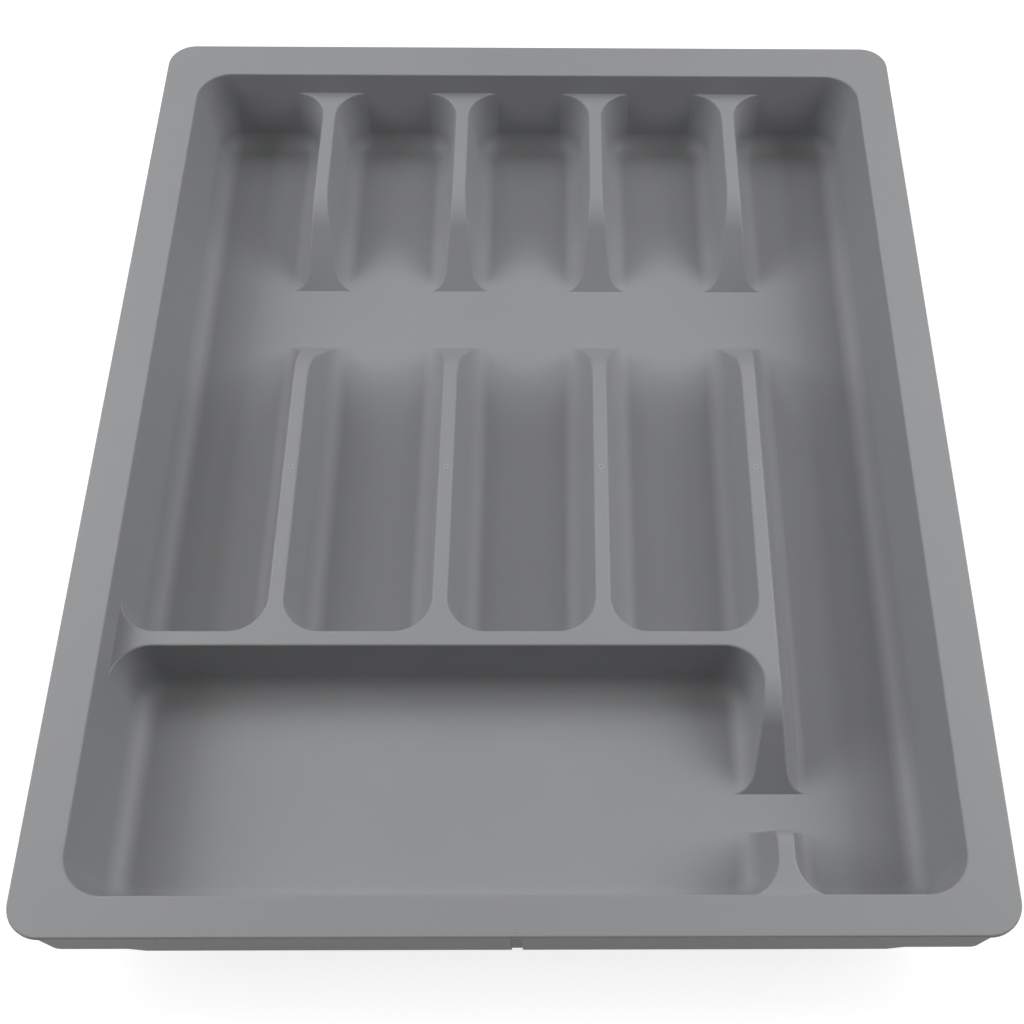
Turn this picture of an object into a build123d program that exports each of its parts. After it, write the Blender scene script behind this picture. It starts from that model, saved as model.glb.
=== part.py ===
"""Cutlery tray for a drawer: one light moulded shell with a flat rim, split into its named regions.

The frame has +Z up, the front of the tray towards -Y and the origin at the bottom centre.
The shell is made in one go, as an outer body less its compartments, and is then cut into
nodes that meet face to face: the rim, the four walls, the floor, each divider and the skirt
that hangs under the front of the rim.
"""
from build123d import *
import math
import os

# Overall size
tray_width = 400
tray_depth = 490
tray_height = 49

# Rim
rim_side_width = 19
rim_back_width = 22
rim_front_width = 16.5
rim_thickness = 2.5
rim_corner_radius = 14
rim_edge_radius = 0.8

# Shell
wall_thickness = 2.2
floor_thickness = 2.7
draft_angle = 8.25
basin_corner_radius = 17.5
floor_fillet_radius = 10
corner_fillet_share = 0.95
base_edge_radius = 9

# Dividers, laid out from the side, front and back walls
divider_count = 4
outer_bay_width = 67.1
divider_top_width = 7
divider_drop = 11.8
divider_wall = 1.9
divider_edge_radius = 1
wall_overlap = 0.05
bay_corner_radius = 17
front_compartment_depth = 111
rear_divider_length = 112.8
cross_gap = 37.6
free_end_angle = 47
free_end_radius = 30
stub_length = 37
front_gap = 17.1
stub_end_angle = 75
stub_end_radius = 8

# Skirt under the front of the rim
skirt_setback = 1
skirt_thickness = 2.2
skirt_end_depth = 20.5
skirt_middle_depth = 24
skirt_side_inset = 12
skirt_end_length = 38
skirt_shoulder_run = 6.5
skirt_shoulder_radius = 3
skirt_groove_width = 4.4
skirt_groove_depth = 0.8

# Cuts between nodes
floor_cut_rise = 1
junction_margin = 1
overrun = 5

# Heights
rim_bottom_z = tray_height - rim_thickness
ridge_top_z = tray_height - divider_drop
floor_top_z = floor_thickness
floor_cut_z = floor_top_z + floor_cut_rise

# Inner faces of the walls, at the rim and at the height of the ridge tops
slope = math.tan(math.radians(draft_angle))
ridge_inset = slope * divider_drop
side_face = tray_width / 2 - rim_side_width
back_face = tray_depth / 2 - rim_back_width
front_face = -(tray_depth / 2 - rim_front_width)
side_at_ridge = side_face - ridge_inset
back_at_ridge = back_face - ridge_inset
front_at_ridge = front_face + ridge_inset
basin_radius_at_ridge = basin_corner_radius - ridge_inset

# Divider places
half_top = divider_top_width / 2
divider_pitch = (2 * (side_face - outer_bay_width) - divider_top_width) / (divider_count - 1)
divider_x = [(i - (divider_count - 1) / 2) * divider_pitch for i in range(divider_count)]
channel_x = divider_x[-1]
cross_front_y = front_at_ridge + front_compartment_depth
cross_y = cross_front_y + half_top
cross_back_y = cross_front_y + divider_top_width
rear_end_y = back_at_ridge - rear_divider_length
middle_end_y = rear_end_y - cross_gap
stub_end_y = front_at_ridge + stub_length
channel_end_y = stub_end_y + front_gap


def block(x0, x1, y0, y1, z0, z1):
    """Box between two corners."""
    size = (x1 - x0, y1 - y0, z1 - z0)
    middle = ((x0 + x1) / 2, (y0 + y1) / 2, (z0 + z1) / 2)
    return Pos(*middle) * Box(*size)


def outline(left, right, front, back, radii, z):
    """Rectangle with its own radius at each corner: front left, front right, back right, back left."""
    corners = [(left, front, z), (right, front, z), (right, back, z), (left, back, z)]
    return make_face(FilletPolyline(*corners, radius=radii, close=True))


def basin(top_z):
    """Open space of the tray as if it had no dividers: drafted walls from the floor up past the rim."""
    low_inset = slope * (tray_height - floor_top_z)
    side = side_face - low_inset
    front = front_face + low_inset
    radii = [basin_corner_radius - low_inset] * 4
    face = outline(-side, side, front, back_face - low_inset, radii, floor_top_z)
    return extrude(face, amount=top_z - floor_top_z, taper=-draft_angle)


def pocket(left, right, front, back, radii):
    """One compartment from the ridge tops down to the floor, with drafted sides and a rounded floor edge."""
    height = ridge_top_z - floor_top_z
    face = outline(left, right, front, back, radii, ridge_top_z)
    solid = extrude(face, amount=height, dir=(0, 0, -1), taper=draft_angle)
    floor_edges = solid.faces().sort_by(Axis.Z)[0].edges()
    tightest = min(radii) - slope * height
    radius = min(floor_fillet_radius, tightest * corner_fillet_share)
    return fillet(floor_edges, radius)


def end_points(foot_y, direction, angle, radius, inset, low_z):
    """Foot, tangent point, arc middle and top of a divider's free end, moved inwards by the inset.

    The direction is the sign of Y on the side where the divider stands.
    """
    a = math.radians(angle)
    straight = (ridge_top_z - floor_top_z) - radius * (1 - math.cos(a))
    centre_y = foot_y + direction * (radius * math.sin(a) + straight / math.tan(a))
    centre_z = ridge_top_z - radius
    reach = radius - inset
    tangent = (centre_y - direction * reach * math.sin(a), centre_z + reach * math.cos(a))
    middle = (centre_y - direction * reach * math.sin(a / 2), centre_z + reach * math.cos(a / 2))
    top = (centre_y, centre_z + reach)
    foot = (tangent[0] - direction * (tangent[1] - low_z) / math.tan(a), low_z)
    return foot, tangent, middle, top


def gap_cutter(front_end, back_end, x0, x1):
    """Space between the free ends of the dividers in front of and behind a gap."""
    front_foot, front_tangent, front_middle, front_top = front_end
    back_foot, back_tangent, back_middle, back_top = back_end
    high_z = ridge_top_z + overrun
    edges = [
        Line(front_foot, back_foot),
        Line(back_foot, back_tangent),
        ThreePointArc(back_tangent, back_middle, back_top),
        Polyline(back_top, (back_top[0], high_z), (front_top[0], high_z), front_top),
        ThreePointArc(front_top, front_middle, front_tangent),
        Line(front_tangent, front_foot),
    ]
    face = Plane.YZ.offset(x0) * make_face(edges)
    return extrude(face, amount=x1 - x0, dir=(1, 0, 0))


def upper_edges(solid):
    """Edges of the dividers that reach their top face, apart from the outer edges of the slab."""
    chosen = []
    for edge in solid.edges():
        box = edge.bounding_box()
        inside_x = abs(edge.center().X) < side_face
        inside_y = front_face < edge.center().Y < back_face
        if inside_x and inside_y and box.max.Z > ridge_top_z - floor_cut_rise:
            chosen.append(edge)
    return chosen


def core_section(plane, low_z):
    """Section of the hollow under a divider, which follows the divider's drafted sides."""
    top = half_top - divider_wall
    high_z = ridge_top_z - divider_wall
    low = top + slope * (high_z - low_z)
    points = [(-low, low_z), (low, low_z), (top, high_z), (-top, high_z)]
    return plane * make_face(Polyline(*points, close=True))


def core_along_y(x, front, back):
    """Hollow under a divider that runs front to back.

    Each end is a plain Y or the points of a free end.
    """
    low_z = -overrun
    high_z = ridge_top_z
    front_is_free = isinstance(front, tuple)
    back_is_free = isinstance(back, tuple)
    y0 = front[0][0] if front_is_free else front
    y1 = back[0][0] if back_is_free else back
    prism = extrude(core_section(Plane.XZ.offset(-y0), low_z), amount=y1 - y0, dir=(0, 1, 0))
    prism = Pos(x, 0, 0) * prism
    edges = [Line((y0, low_z), (y1, low_z))]
    if back_is_free:
        foot, tangent, middle, top = back
        edges += [Line(foot, tangent), ThreePointArc(tangent, middle, top)]
        last = top
    else:
        last = (y1, high_z)
        edges += [Line((y1, low_z), last)]
    if front_is_free:
        foot, tangent, middle, top = front
        edges += [Line(last, top)] if last != top else []
        edges += [ThreePointArc(top, middle, tangent), Line(tangent, foot)]
    else:
        corner = (y0, high_z)
        edges += [Line(last, corner), Line(corner, (y0, low_z))]
    width = 2 * divider_pitch
    face = Plane.YZ.offset(x - width / 2) * make_face(edges)
    side_view = extrude(face, amount=width, dir=(1, 0, 0))
    return prism & side_view


# Dividers: a slab less the compartments and less the gaps between free ends, with its top edges rounded.
# The compartments reach a little into the outer walls, so that no two faces coincide.
pocket_side = side_at_ridge + wall_overlap
pocket_back = back_at_ridge + wall_overlap
pocket_front = front_at_ridge - wall_overlap
channel_left = channel_x + half_top
compartment_right = channel_x - half_top
inner = bay_corner_radius
outer = basin_radius_at_ridge
slab_x = side_face + overrun
dividers = block(-slab_x, slab_x, front_face - overrun, back_face + overrun, floor_top_z, ridge_top_z)
bay_edges = [-pocket_side] + divider_x
for i in range(divider_count):
    left = bay_edges[i] + (half_top if i else 0)
    right = divider_x[i] - half_top
    radii = [inner, inner, inner, outer if i == 0 else inner]
    dividers -= pocket(left, right, cross_back_y, pocket_back, radii)
dividers -= pocket(channel_left, pocket_side, pocket_front, pocket_back, [inner, outer, outer, inner])
dividers -= pocket(-pocket_side, compartment_right, pocket_front, cross_front_y, [outer, inner, inner, inner])
rear_end = end_points(rear_end_y, 1, free_end_angle, free_end_radius, 0, floor_top_z)
middle_end = end_points(middle_end_y, -1, free_end_angle, free_end_radius, 0, floor_top_z)
channel_end = end_points(channel_end_y, 1, free_end_angle, free_end_radius, 0, floor_top_z)
stub_end = end_points(stub_end_y, -1, stub_end_angle, stub_end_radius, 0, floor_top_z)
first_bay_x = (-side_at_ridge + divider_x[0]) / 2
channel_middle_x = (channel_x + side_at_ridge) / 2
compartment_side_x = channel_x - divider_pitch / 2
dividers -= gap_cutter(middle_end, rear_end, first_bay_x, channel_middle_x)
dividers -= gap_cutter(stub_end, channel_end, compartment_side_x, channel_middle_x)
dividers = fillet(upper_edges(dividers), divider_edge_radius)

# Open space of the tray
cavity = basin(tray_height + overrun) - dividers

# Hollows under the dividers, which stay clear of the outer edge of the base
base_reach = slope * (tray_height - floor_top_z) + floor_fillet_radius + wall_thickness
core_back_y = back_face - base_reach
core_front_y = front_face + base_reach
core_side_x = side_face - base_reach
rear_core_end = end_points(rear_end_y, 1, free_end_angle, free_end_radius, divider_wall, -overrun)
middle_core_end = end_points(middle_end_y, -1, free_end_angle, free_end_radius, divider_wall, -overrun)
channel_core_end = end_points(channel_end_y, 1, free_end_angle, free_end_radius, divider_wall, -overrun)
stub_core_end = end_points(stub_end_y, -1, stub_end_angle, stub_end_radius, divider_wall, -overrun)
cross_core = extrude(
    core_section(Plane.YZ.offset(-core_side_x), -overrun), amount=channel_x + core_side_x, dir=(1, 0, 0)
)
cores = Pos(0, cross_y, 0) * cross_core
for x in divider_x:
    cores += core_along_y(x, rear_core_end, core_back_y)
for x in divider_x[:-1]:
    cores += core_along_y(x, cross_y, middle_core_end)
cores += core_along_y(channel_x, channel_core_end, middle_core_end)
cores += core_along_y(channel_x, core_front_y, stub_core_end)

# Whole shell
wall_across = wall_thickness / math.cos(math.radians(draft_angle))
outer_radii = [basin_corner_radius + wall_thickness] * 4
outer_top = outline(
    -side_face - wall_across,
    side_face + wall_across,
    front_face - wall_across,
    back_face + wall_across,
    outer_radii,
    tray_height,
)
body = extrude(outer_top, amount=tray_height, dir=(0, 0, -1), taper=draft_angle)
body = fillet(body.faces().sort_by(Axis.Z)[0].edges(), base_edge_radius)
half_width = tray_width / 2
half_depth = tray_depth / 2
rim_outline = outline(-half_width, half_width, -half_depth, half_depth, [rim_corner_radius] * 4, rim_bottom_z)
rim_plate = extrude(rim_outline, amount=rim_thickness, dir=(0, 0, 1))
tray = body + rim_plate - cavity - cores
rim_edges = tray.edges().group_by(Axis.Z)[-1]
tray = fillet(rim_edges, rim_edge_radius)

# Regions in plan: four walls that meet at mitres, and the middle
reach = bay_corner_radius + junction_margin
in_x = side_face - reach
in_front = front_face + reach
in_back = back_face - reach


def region(points, z0, z1):
    """Prism over a plan outline."""
    face = make_face(Polyline(*[(x, y, z0) for x, y in points], close=True))
    return extrude(face, amount=z1 - z0, dir=(0, 0, 1))


out_x = half_width
left_points = [(-out_x, -half_depth), (-in_x, in_front), (-in_x, in_back), (-out_x, half_depth)]
right_points = [(out_x, -half_depth), (out_x, half_depth), (in_x, in_back), (in_x, in_front)]
front_points = [(-out_x, -half_depth), (out_x, -half_depth), (in_x, in_front), (-in_x, in_front)]
back_points = [(-out_x, half_depth), (-in_x, in_back), (in_x, in_back), (out_x, half_depth)]
middle_reach = half_top + reach


def middle_block(x0, x1, y0, y1):
    """Box over the middle of the plan, at the height of the walls and dividers."""
    return block(x0, x1, y0, y1, floor_cut_z, rim_bottom_z)


nodes = {}
nodes["rim_flange"] = tray & block(-half_width, half_width, -half_depth, half_depth, rim_bottom_z, tray_height)
nodes["floor_pan"] = tray & block(-half_width, half_width, -half_depth, half_depth, 0, floor_cut_z)
left_wall = tray & region(left_points, floor_cut_z, rim_bottom_z)
junction_back_y = cross_back_y + reach
junction_front_y = cross_front_y - reach
nodes["left_wall_rear"] = left_wall & middle_block(-half_width, -in_x, junction_back_y, half_depth)
nodes["left_wall_middle"] = left_wall & middle_block(-half_width, -in_x, junction_front_y, junction_back_y)
nodes["left_wall_front"] = left_wall & middle_block(-half_width, -in_x, -half_depth, junction_front_y)
nodes["right_wall"] = tray & region(right_points, floor_cut_z, rim_bottom_z)
nodes["front_wall"] = tray & region(front_points, floor_cut_z, rim_bottom_z)
nodes["back_wall"] = tray & region(back_points, floor_cut_z, rim_bottom_z)
half_pitch = divider_pitch / 2
gap_middle_y = (middle_end_y + rear_end_y) / 2
front_gap_middle_y = (stub_end_y + channel_end_y) / 2
cross_split_x = channel_x - middle_reach
for number, x in enumerate(divider_x, start=1):
    name = f"rear_divider_{number}"
    nodes[name] = tray & middle_block(x - half_pitch, x + half_pitch, gap_middle_y, in_back)
for number, x in enumerate(divider_x[:-1], start=1):
    name = f"middle_divider_{number}"
    right = min(x + half_pitch, cross_split_x)
    nodes[name] = tray & middle_block(x - half_pitch, right, junction_back_y, gap_middle_y)
nodes["cross_divider"] = tray & middle_block(-in_x, cross_split_x, front_gap_middle_y, junction_back_y)
nodes["channel_divider"] = tray & middle_block(cross_split_x, channel_x + half_pitch, front_gap_middle_y, gap_middle_y)
nodes["stub_divider"] = tray & middle_block(cross_split_x, channel_x + half_pitch, in_front, front_gap_middle_y)

# Skirt: a plate under the front of the rim, a little deeper along its middle
skirt_front_y = -half_depth + skirt_setback
skirt_end_z = rim_bottom_z - skirt_end_depth
skirt_middle_z = rim_bottom_z - skirt_middle_depth
skirt_half_length = half_width - skirt_side_inset
skirt_middle_half_length = skirt_half_length - skirt_end_length
skirt_end_x = skirt_half_length - slope * skirt_end_depth
shoulder_x = skirt_middle_half_length + skirt_shoulder_run
skirt_points = [
    (-skirt_half_length, rim_bottom_z),
    (-skirt_end_x, skirt_end_z),
    (-shoulder_x, skirt_end_z),
    (-skirt_middle_half_length, skirt_middle_z),
    (skirt_middle_half_length, skirt_middle_z),
    (shoulder_x, skirt_end_z),
    (skirt_end_x, skirt_end_z),
    (skirt_half_length, rim_bottom_z),
]
shoulder = skirt_shoulder_radius
skirt_radii = [0, shoulder, shoulder, shoulder, shoulder, shoulder, shoulder, 0]
skirt_face = make_face(FilletPolyline(*skirt_points, radius=skirt_radii, close=True))
skirt = extrude(Plane.XZ.offset(-skirt_front_y) * skirt_face, amount=skirt_thickness, dir=(0, 1, 0))
groove_half = skirt_groove_width / 2
groove_back_y = skirt_front_y + skirt_groove_depth
skirt -= block(-groove_half, groove_half, skirt_front_y - overrun, groove_back_y, 0, rim_bottom_z)
split_x = shoulder_x + skirt_shoulder_run
skirt_back_y = skirt_front_y + skirt_thickness
nodes["front_skirt"] = skirt & block(-split_x, split_x, skirt_front_y, skirt_back_y, 0, rim_bottom_z)
nodes["left_skirt_end"] = skirt & block(-half_width, -split_x, skirt_front_y, skirt_back_y, 0, rim_bottom_z)
nodes["right_skirt_end"] = skirt & block(split_x, half_width, skirt_front_y, skirt_back_y, 0, rim_bottom_z)

os.makedirs("parts", exist_ok=True)
for name, shape in nodes.items():
    export_step(shape, f"parts/{name}.step")
    print(name, len(shape.solids()), round(shape.volume, 1))
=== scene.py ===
"""Cutlery tray: the finishes, lights and camera around the fixed CAD frame."""
import logging
import math
from dataclasses import dataclass, field
from enum import Enum

import bpy
from mathutils import Matrix, Vector

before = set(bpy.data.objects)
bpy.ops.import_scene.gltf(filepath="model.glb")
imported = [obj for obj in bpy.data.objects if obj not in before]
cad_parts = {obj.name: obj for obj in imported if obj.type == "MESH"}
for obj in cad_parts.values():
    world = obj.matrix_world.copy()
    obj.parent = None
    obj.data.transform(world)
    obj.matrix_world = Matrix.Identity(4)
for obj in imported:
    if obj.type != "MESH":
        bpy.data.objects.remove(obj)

log = logging.getLogger("tray")
PHOTO_PIXELS = 1024


class Side(Enum):
    """The two sides of the tray, as signs of X."""

    LEFT = -1
    RIGHT = 1


@dataclass(frozen=True)
class MarkOrPaintedShade:
    """One small mark that the mould left in the plastic, or a small patch of painted shade.

    Attributes:
        place: Its middle, in metres.
        reach: How far it runs from its middle along X, Y and Z, in metres.
        depth: How much darker it is than the plastic around it, or lighter when this is below 0.
        core: The share of its reach over which it keeps its full depth.
    """

    place: tuple[float, float, float]
    reach: tuple[float, float, float]
    depth: float
    core: float = 0.6

    def shade(
        self, tree: bpy.types.NodeTree, place: bpy.types.NodeSocket
    ) -> bpy.types.NodeSocket:
        """Add the nodes of this mark.

        Args:
            tree: The material's node tree.
            place: Object coordinates.

        Returns:
            A socket that is 0 away from the mark and its depth in its middle.
        """
        offset = tree.nodes.new("ShaderNodeVectorMath")
        offset.operation = "SUBTRACT"
        offset.inputs[1].default_value = self.place
        tree.links.new(place, offset.inputs[0])
        share = tree.nodes.new("ShaderNodeVectorMath")
        share.operation = "DIVIDE"
        share.inputs[1].default_value = self.reach
        tree.links.new(offset.outputs["Vector"], share.inputs[0])
        length = tree.nodes.new("ShaderNodeVectorMath")
        length.operation = "LENGTH"
        tree.links.new(share.outputs["Vector"], length.inputs[0])
        fade = tree.nodes.new("ShaderNodeMapRange")
        fade.inputs["From Min"].default_value = self.core
        fade.inputs["From Max"].default_value = 1.0
        fade.inputs["To Min"].default_value = self.depth
        fade.inputs["To Max"].default_value = 0.0
        tree.links.new(length.outputs["Value"], fade.inputs["Value"])
        return fade.outputs["Result"]


# Gate marks on the four ridges, each a pale ring round a darker dip
RIDGE_X = (-0.1104, -0.0368, 0.0368, 0.1104)
RIDGE_TOP = 0.0372
GATE_Y = -0.0232
GATE_RING_REACH = (0.0014, 0.0016, 0.004)
GATE_DIP_REACH = (0.0008, 0.0009, 0.004)
GATE_PLACES = tuple((x, GATE_Y, RIDGE_TOP) for x in RIDGE_X)
GATE_RINGS = tuple(MarkOrPaintedShade(place, GATE_RING_REACH, depth=-0.3) for place in GATE_PLACES)
GATE_DIPS = tuple(MarkOrPaintedShade(place, GATE_DIP_REACH, depth=0.6, core=0.4) for place in GATE_PLACES)

# Painted shade in the skirt's groove and in a nick near the skirt's top, and the faint line
# where two flows of plastic met
# The groove is painted darker, as shade in the recess
SKIRT_GROOVE_PAINTED_SHADE = MarkOrPaintedShade((0.0001, -0.2432, 0.034), (0.0026, 0.0007, 0.02), depth=0.3)
# The nick is painted darker, as shade in the cut
SKIRT_NICK_PAINTED_SHADE = MarkOrPaintedShade((-0.1415, -0.2443, 0.044), (0.0006, 0.006, 0.0045), depth=0.55)
FLOW_LINE = MarkOrPaintedShade((0.0, 0.218, 0.028), (0.0005, 0.02, 0.024), depth=0.05)


@dataclass(frozen=True)
class MouldedPlastic:
    """Grey polypropylene with a soft satin skin.

    Lengths are in metres. The grain is the fine spark texture of the mould, the flow is the slow
    change of tone where the plastic ran, and the specks are the small changes of gloss that
    handling leaves. The octaves say how fine the detail of each noise is.
    """

    name: str = "satin_grey_polypropylene"
    colour: tuple[float, float, float] = (0.30, 0.303, 0.31)
    tone_change: float = 0.05
    roughness: float = 0.57
    roughness_change: float = 0.06
    grain_size: float = 0.0006
    grain_octaves: float = 2.0
    grain_height: float = 0.00002
    flow_size: float = 0.09
    flow_octaves: float = 3.0
    speck_size: float = 0.004
    speck_octaves: float = 4.0
    # The marks include painted shade in the skirt's groove and nick
    marks: tuple[MarkOrPaintedShade, ...] = (*GATE_RINGS, *GATE_DIPS, SKIRT_NICK_PAINTED_SHADE, SKIRT_GROOVE_PAINTED_SHADE, FLOW_LINE)

    def build(self) -> bpy.types.Material:
        """Make the material.

        Returns:
            The new material, ready to be put in an object's slots.
        """
        material = bpy.data.materials.new(self.name)
        material.use_nodes = True
        tree = material.node_tree
        shader = tree.nodes["Principled BSDF"]
        place = tree.nodes.new("ShaderNodeTexCoord").outputs["Object"]
        flow = self.noise(tree, place, self.flow_size, self.flow_octaves)
        specks = self.noise(tree, place, self.speck_size, self.speck_octaves)
        grain = self.noise(tree, place, self.grain_size, self.grain_octaves)
        tone = tree.nodes.new("ShaderNodeMapRange")
        tone.inputs["To Min"].default_value = 1 - self.tone_change
        tone.inputs["To Max"].default_value = 1 + self.tone_change
        tree.links.new(flow, tone.inputs["Value"])
        level = tone.outputs["Result"]
        for mark in self.marks:
            marked = tree.nodes.new("ShaderNodeMath")
            marked.operation = "SUBTRACT"
            tree.links.new(level, marked.inputs[0])
            tree.links.new(mark.shade(tree, place), marked.inputs[1])
            level = marked.outputs[0]
        tint = tree.nodes.new("ShaderNodeVectorMath")
        tint.operation = "SCALE"
        tint.inputs[0].default_value = self.colour
        tree.links.new(level, tint.inputs["Scale"])
        tree.links.new(tint.outputs["Vector"], shader.inputs["Base Color"])
        gloss = tree.nodes.new("ShaderNodeMapRange")
        gloss.inputs["To Min"].default_value = self.roughness - self.roughness_change
        gloss.inputs["To Max"].default_value = self.roughness + self.roughness_change
        tree.links.new(specks, gloss.inputs["Value"])
        tree.links.new(gloss.outputs["Result"], shader.inputs["Roughness"])
        bump = tree.nodes.new("ShaderNodeBump")
        bump.inputs["Strength"].default_value = 1.0
        bump.inputs["Distance"].default_value = self.grain_height
        tree.links.new(grain, bump.inputs["Height"])
        tree.links.new(bump.outputs["Normal"], shader.inputs["Normal"])
        return material

    @staticmethod
    def noise(
        tree: bpy.types.NodeTree, place: bpy.types.NodeSocket, cell_size: float, octaves: float
    ) -> bpy.types.NodeSocket:
        """Add one noise texture.

        Args:
            tree: The material's node tree.
            place: The coordinates that the noise follows.
            cell_size: Size of one noise cell, in metres.
            octaves: How many finer layers the noise has.

        Returns:
            The noise's value.
        """
        node = tree.nodes.new("ShaderNodeTexNoise")
        node.inputs["Scale"].default_value = 1 / cell_size
        node.inputs["Detail"].default_value = octaves
        tree.links.new(place, node.inputs["Vector"])
        return node.outputs["Factor" if "Factor" in node.outputs else "Fac"]


@dataclass
class Tray:
    """The moulded tray, whose regions are the CAD nodes."""

    plastic: MouldedPlastic = field(default_factory=MouldedPlastic)

    def dress(self) -> None:
        """Give every region of the moulding the same plastic."""
        material = self.plastic.build()
        for name, node in sorted(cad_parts.items()):
            node.data.materials.clear()
            node.data.materials.append(material)
            log.info("dressed %s", name)


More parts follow.
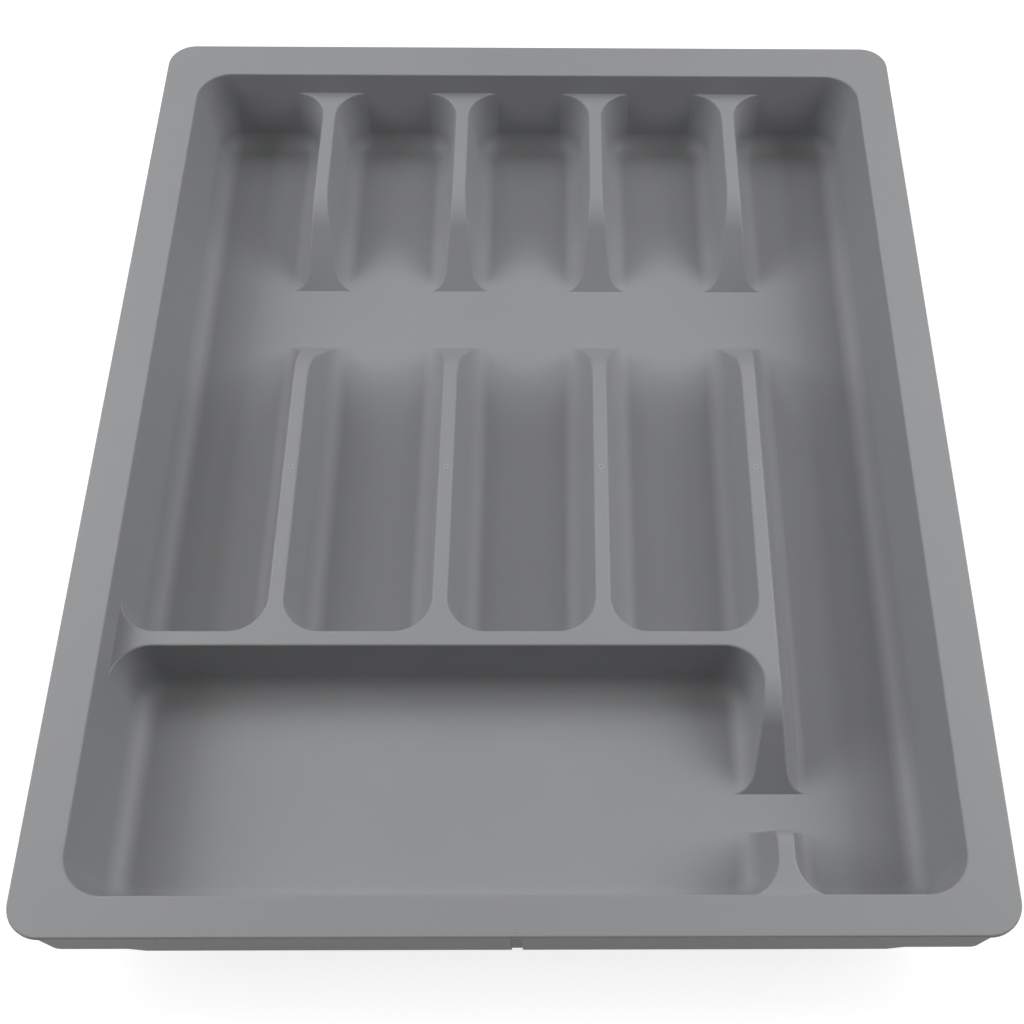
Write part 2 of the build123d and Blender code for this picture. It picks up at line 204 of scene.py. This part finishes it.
@dataclass
class Studio:
    """A pale floor, soft light from both sides and the photograph's camera.

    Lengths are in metres and angles in degrees. Yaw, pitch and roll turn the camera from looking
    straight down. The focal length and the column that the optical axis meets are in pixels of
    the photograph. The floor glows for rays that show the background, so that it looks white
    around the tray, and still keeps the tray's shadow.
    """

    rim_height: float = 0.049
    camera_from_rim: tuple[float, float, float] = (0.01568, -0.36757, 0.55359)
    yaw: float = 1.327
    pitch: float = -29.466
    roll: float = -1.213
    focal_pixels: float = 1393.9
    axis_pixel: float = 572.4
    sensor_millimetres: float = 36.0
    floor_size: float = 3.0
    side_watts: float = 5.5
    side_size: float = 0.6
    side_distance: float = 1.2
    side_height_angle: float = 35.0
    back_watts: float = 12.0
    back_size: float = 1.0
    back_distance: float = 2.2
    back_height_angle: float = 48.0
    back_turn: float = 35.0
    ambient: float = 0.05
    floor_light: float = 0.42
    floor_shown: float = 0.35
    floor_glow: float = 0.85
    floor_roughness: float = 0.9

    def camera(self) -> None:
        """Place the camera that the photograph was fitted with."""
        data = bpy.data.cameras.new("photo_camera")
        data.sensor_width = self.sensor_millimetres
        data.lens = data.sensor_width * self.focal_pixels / PHOTO_PIXELS
        data.shift_x = (PHOTO_PIXELS / 2 - self.axis_pixel) / PHOTO_PIXELS
        turn = (
            Matrix.Rotation(math.radians(self.roll), 3, "Z")
            @ Matrix.Rotation(math.radians(self.pitch), 3, "X")
            @ Matrix.Rotation(math.radians(self.yaw), 3, "Z")
        )
        place = Vector(self.camera_from_rim) + Vector((0, 0, self.rim_height))
        camera = bpy.data.objects.new("photo_camera", data)
        bpy.context.scene.collection.objects.link(camera)
        camera.matrix_world = Matrix.Translation(place) @ turn.transposed().to_4x4()
        bpy.context.scene.camera = camera

    @staticmethod
    def seen(tree: bpy.types.NodeTree) -> bpy.types.NodeSocket:
        """Tell the rays of the camera, of mirrors and of glass from those that light the scene.

        Args:
            tree: The node tree to build in.

        Returns:
            A socket that is 1 for rays that show the background and 0 for the others.
        """
        path = tree.nodes.new("ShaderNodeLightPath")
        first = tree.nodes.new("ShaderNodeMath")
        first.operation = "MAXIMUM"
        tree.links.new(path.outputs["Is Camera Ray"], first.inputs[0])
        tree.links.new(path.outputs["Is Glossy Ray"], first.inputs[1])
        second = tree.nodes.new("ShaderNodeMath")
        second.operation = "MAXIMUM"
        tree.links.new(first.outputs[0], second.inputs[0])
        tree.links.new(path.outputs["Is Transmission Ray"], second.inputs[1])
        return second.outputs[0]

    def world(self) -> None:
        """Fill the scene with a little even light and show white behind it."""
        world = bpy.data.worlds.new("pale_room")
        world.use_nodes = True
        bpy.context.scene.world = world
        tree = world.node_tree
        fill = tree.nodes["Background"]
        fill.inputs["Color"].default_value = (1, 1, 1, 1)
        fill.inputs["Strength"].default_value = self.ambient
        white = tree.nodes.new("ShaderNodeBackground")
        white.inputs["Color"].default_value = (1, 1, 1, 1)
        mix = tree.nodes.new("ShaderNodeMixShader")
        tree.links.new(self.seen(tree), mix.inputs[0])
        tree.links.new(fill.outputs[0], mix.inputs[1])
        tree.links.new(white.outputs[0], mix.inputs[2])
        tree.links.new(mix.outputs[0], tree.nodes["World Output"].inputs["Surface"])

    def floor(self) -> None:
        """Lay a pale floor under the tray, white to the camera but for the tray's shadow."""
        bpy.ops.object.select_all(action="DESELECT")
        bpy.ops.mesh.primitive_plane_add(size=self.floor_size)
        floor = bpy.context.object
        floor.name = "studio_floor"
        material = bpy.data.materials.new("pale_floor")
        material.use_nodes = True
        tree = material.node_tree
        shader = tree.nodes["Principled BSDF"]
        shader.inputs["Roughness"].default_value = self.floor_roughness
        shader.inputs["Emission Color"].default_value = (1, 1, 1, 1)
        seen = self.seen(tree)
        tone = tree.nodes.new("ShaderNodeMapRange")
        tone.inputs["To Min"].default_value = self.floor_light
        tone.inputs["To Max"].default_value = self.floor_shown
        tree.links.new(seen, tone.inputs["Value"])
        tree.links.new(tone.outputs["Result"], shader.inputs["Base Color"])
        glow = tree.nodes.new("ShaderNodeMath")
        glow.operation = "MULTIPLY"
        glow.inputs[1].default_value = self.floor_glow
        tree.links.new(seen, glow.inputs[0])
        tree.links.new(glow.outputs[0], shader.inputs["Emission Strength"])
        floor.data.materials.append(material)

    def lamp(self, name: str, place: Vector, size: float, watts: float) -> None:
        """Hang one square soft lamp that faces the tray.

        Args:
            name: The lamp's name.
            place: Where it hangs, in metres.
            size: Its side.
            watts: Its power.
        """
        data = bpy.data.lights.new(name, "AREA")
        data.shape = "SQUARE"
        data.size = size
        data.energy = watts
        lamp = bpy.data.objects.new(name, data)
        bpy.context.scene.collection.objects.link(lamp)
        facing = place.to_track_quat("Z", "Y").to_matrix().to_4x4()
        lamp.matrix_world = Matrix.Translation(place) @ facing

    def pair(
        self,
        name: str,
        height_angle: float,
        turn: float,
        distance: float,
        size: float,
        watts: float,
    ) -> None:
        """Hang two matching lamps, one on each side of the tray.

        Args:
            name: What the pair is called.
            height_angle: How high they stand above the floor, in degrees.
            turn: How far they are turned from the sides towards the back, in degrees.
            distance: How far they are from the tray.
            size: Side of each lamp.
            watts: Power of each lamp.
        """
        up = math.radians(height_angle)
        round_back = math.radians(turn)
        for side in Side:
            level = Vector((side.value * math.cos(round_back), math.sin(round_back), 0))
            place = distance * (math.cos(up) * level + Vector((0, 0, math.sin(up))))
            self.lamp(f"{side.name.lower()}_{name}", place, size, watts)

    def lamps(self) -> None:
        """Hang a pair of soft lamps at the sides and a larger pair further back."""
        self.pair(
            "side_lamp",
            height_angle=self.side_height_angle,
            turn=0,
            distance=self.side_distance,
            size=self.side_size,
            watts=self.side_watts,
        )
        self.pair(
            "back_lamp",
            height_angle=self.back_height_angle,
            turn=self.back_turn,
            distance=self.back_distance,
            size=self.back_size,
            watts=self.back_watts,
        )

    def build(self) -> None:
        """Set the whole stage."""
        self.floor()
        self.lamps()
        self.world()
        self.camera()
        bpy.context.scene.view_settings.view_transform = "Standard"


def main() -> None:
    """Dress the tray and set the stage."""
    logging.basicConfig(level=logging.INFO)
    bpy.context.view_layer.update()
    Tray().dress()
    Studio().build()


if __name__ == "__main__":
    main()
